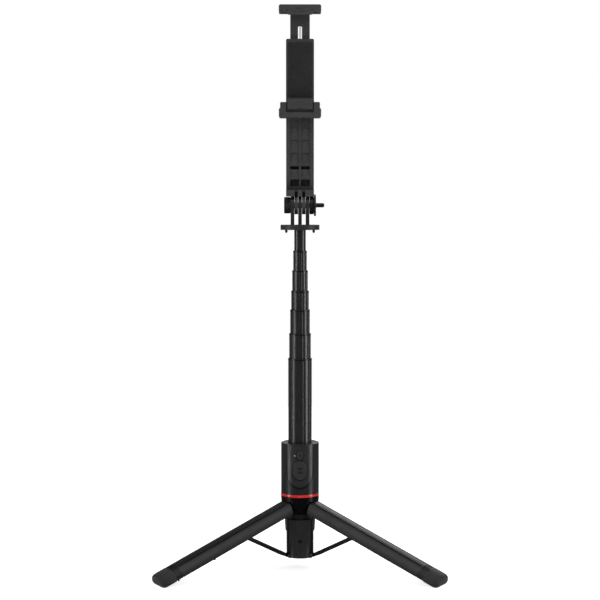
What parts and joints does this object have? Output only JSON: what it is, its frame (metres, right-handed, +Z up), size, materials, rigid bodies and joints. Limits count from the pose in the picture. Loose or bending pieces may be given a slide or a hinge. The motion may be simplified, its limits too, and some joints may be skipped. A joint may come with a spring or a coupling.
{
  "type": "selfie stick",
  "caption": "Telescopic selfie stick with fold-out tripod legs and stays, a tilting and turning sprung phone clamp, and a pull-off shutter remote in the grip.",
  "frame": {"origin": "point on the ground under the pole's axis, with the legs spread", "axes": "+Z up along the pole, -Y towards the side that the remote and the phone's screen face, +X to the right seen from that side"},
  "size_m": [0.2412, 0.2097, 0.464],
  "materials": {
    "grip_plastic": "satin moulded, near black",
    "hub_plastic": "satin moulded, near black",
    "red_trim": "gloss red",
    "pole_gloss": "gloss black",
    "ring_plastic": "black",
    "slide_plastic": "natural",
    "column_plastic": "satin moulded",
    "leg_plastic": "fine satin, dark grey",
    "foot_rubber": "matt",
    "stay_metal": "satin black",
    "steel": "plain",
    "dark_steel": "plain",
    "head_plastic": "satin moulded",
    "knob_plastic": "satin moulded",
    "holder_plastic": "fine satin, dark grey",
    "pad_rubber": "matt",
    "remote_plastic": "satin",
    "button_plastic": "satin",
    "light_lens": "clear",
    "board": "solder mask"
  },
  "bodies": {
    "grip": {"collar_shell": "grip_plastic", "accent_ring": "red_trim", "leg_hub": "hub_plastic", "guide_bush": "slide_plastic", "leg_pins": "dark_steel"},
    "column": {"tube_1": "pole_gloss", "end_ring_1": "ring_plastic", "column_sleeve": "column_plastic", "base_cap": "column_plastic", "stay_pins": "dark_steel", "sleeve_screw": "dark_steel"},
    "section_2": {"tube_2": "pole_gloss", "end_ring_2": "ring_plastic", "slide_bush_2": "slide_plastic"},
    "section_3": {"tube_3": "pole_gloss", "end_ring_3": "ring_plastic", "slide_bush_3": "slide_plastic"},
    "section_4": {"tube_4": "pole_gloss", "end_ring_4": "ring_plastic", "slide_bush_4": "slide_plastic"},
    "section_5": {"tube_5": "pole_gloss", "end_ring_5": "ring_plastic", "slide_bush_5": "slide_plastic"},
    "section_6": {"tube_6": "pole_gloss", "end_ring_6": "ring_plastic", "slide_bush_6": "slide_plastic"},
    "section_7": {"tube_7": "pole_gloss", "slide_bush_7": "slide_plastic", "head_mount": "head_plastic", "prong_nut": "knob_plastic"},
    "knob": {"tilt_knob": "knob_plastic", "tilt_bolt": "dark_steel"},
    "arm": {"holder_arm": "holder_plastic"},
    "clamp": {"clamp_body": "holder_plastic", "clamp_pads": "pad_rubber", "swivel_rivet": "dark_steel", "spring_pins": "steel"},
    "top_jaw": {"upper_jaw": "holder_plastic", "upper_pad": "pad_rubber", "clamp_spring": "steel"},
    "leg_body_1": {"leg_1": "leg_plastic", "foot_1": "foot_rubber"},
    "stay_body_1": {"stay_1": "stay_metal"},
    "leg_body_2": {"leg_2": "leg_plastic", "foot_2": "foot_rubber"},
    "stay_body_2": {"stay_2": "stay_metal"},
    "leg_body_3": {"leg_3": "leg_plastic", "foot_3": "foot_rubber"},
    "stay_body_3": {"stay_3": "stay_metal"},
    "remote": {"remote_front": "remote_plastic", "remote_back": "remote_plastic", "status_light": "light_lens", "remote_board": "board", "coin_cell": "steel"},
    "shutter": {"shutter_button": "button_plastic"},
    "power": {"power_button": "button_plastic"}
  },
  "joints": [
    {"name": "leg_1_fold", "type": "hinge", "parent": "grip", "child": "leg_body_1", "pos_m": [0.01091, -0.0063, 0.0535], "axis": [0.5, 0.866, 0], "range_deg": [0, 68]},
    {"name": "leg_2_fold", "type": "hinge", "parent": "grip", "child": "leg_body_2", "pos_m": [-0.01091, -0.0063, 0.0535], "axis": [0.5, -0.866, 0], "range_deg": [-0.05, 68.05]},
    {"name": "leg_3_fold", "type": "hinge", "parent": "grip", "child": "leg_body_3", "pos_m": [0, 0.0126, 0.0535], "axis": [-1, 0, 0], "range_deg": [-0.05, 68.05]},
    {"name": "column_slide", "type": "slide", "parent": "grip", "child": "column", "axis": [0, 0, 1], "range_m": [-0.0704, 0.0001]},
    {"name": "stay_1_swing", "type": "hinge", "parent": "column", "child": "stay_body_1", "pos_m": [0.01022, -0.0059, 0.0103], "axis": [0.5, 0.866, 0], "range_deg": [-62.75, 0.05]},
    {"name": "stay_2_swing", "type": "hinge", "parent": "column", "child": "stay_body_2", "pos_m": [-0.01022, -0.0059, 0.0103], "axis": [0.5, -0.866, 0], "range_deg": [-62.75, 0.05]},
    {"name": "stay_3_swing", "type": "hinge", "parent": "column", "child": "stay_body_3", "pos_m": [0, 0.0118, 0.0103], "axis": [-1, 0, 0], "range_deg": [-62.75, 0.05]},
    {"name": "section_2_slide", "type": "slide", "parent": "column", "child": "section_2", "axis": [0, 0, 1], "range_m": [-0.0207, 0.1153]},
    {"name": "section_3_slide", "type": "slide", "parent": "section_2", "child": "section_3", "axis": [0, 0, 1], "range_m": [-0.0198, 0.1162]},
    {"name": "section_4_slide", "type": "slide", "parent": "section_3", "child": "section_4", "axis": [0, 0, 1], "range_m": [-0.0157, 0.1203]},
    {"name": "section_5_slide", "type": "slide", "parent": "section_4", "child": "section_5", "axis": [0, 0, 1], "range_m": [-0.0169, 0.1191]},
    {"name": "section_6_slide", "type": "slide", "parent": "section_5", "child": "section_6", "axis": [0, 0, 1], "range_m": [-0.0163, 0.1197]},
    {"name": "section_7_slide", "type": "slide", "parent": "section_6", "child": "section_7", "axis": [0, 0, 1], "range_m": [-0.0169, 0.1188]},
    {"name": "knob_turn", "type": "hinge", "parent": "section_7", "child": "knob", "pos_m": [0.01, 0, 0.302], "axis": [1, 0, 0], "continuous": true},
    {"name": "arm_tilt", "type": "hinge", "parent": "section_7", "child": "arm", "pos_m": [0, 0, 0.302], "axis": [1, 0, 0], "range_deg": [-90, 90]},
    {"name": "clamp_turn", "type": "hinge", "parent": "arm", "child": "clamp", "pos_m": [0, -0.0012, 0.42185], "axis": [0, 1, 0], "range_deg": [-90, 90]},
    {"name": "jaw_slide", "type": "slide", "parent": "clamp", "child": "top_jaw", "axis": [0, 0, 1], "range_m": [-0.0155, 0.018], "deforming": ["clamp_spring"]},
    {"name": "remote_pull", "type": "slide", "parent": "grip", "child": "remote", "axis": [0, -1, 0], "range_m": [0, 0.012]},
    {"name": "shutter_press", "type": "slide", "parent": "remote", "child": "shutter", "axis": [0, 1, 0], "range_m": [0, 0.0005], "stiffness_N_per_m": 400},
    {"name": "power_press", "type": "slide", "parent": "remote", "child": "power", "axis": [0, 1, 0], "range_m": [0, 0.0005], "stiffness_N_per_m": 400}
  ],
  "couplings": [
    {"joint": "leg_2_fold", "follows": "leg_1_fold", "ratio": 1},
    {"joint": "leg_3_fold", "follows": "leg_1_fold", "ratio": 1},
    {"joint": "column_slide", "follows": "leg_1_fold", "m_per_rad": -0.059234},
    {"joint": "stay_1_swing", "follows": "leg_1_fold", "ratio": -0.92206},
    {"joint": "stay_2_swing", "follows": "leg_1_fold", "ratio": -0.92206},
    {"joint": "stay_3_swing", "follows": "leg_1_fold", "ratio": -0.92206}
  ]
}
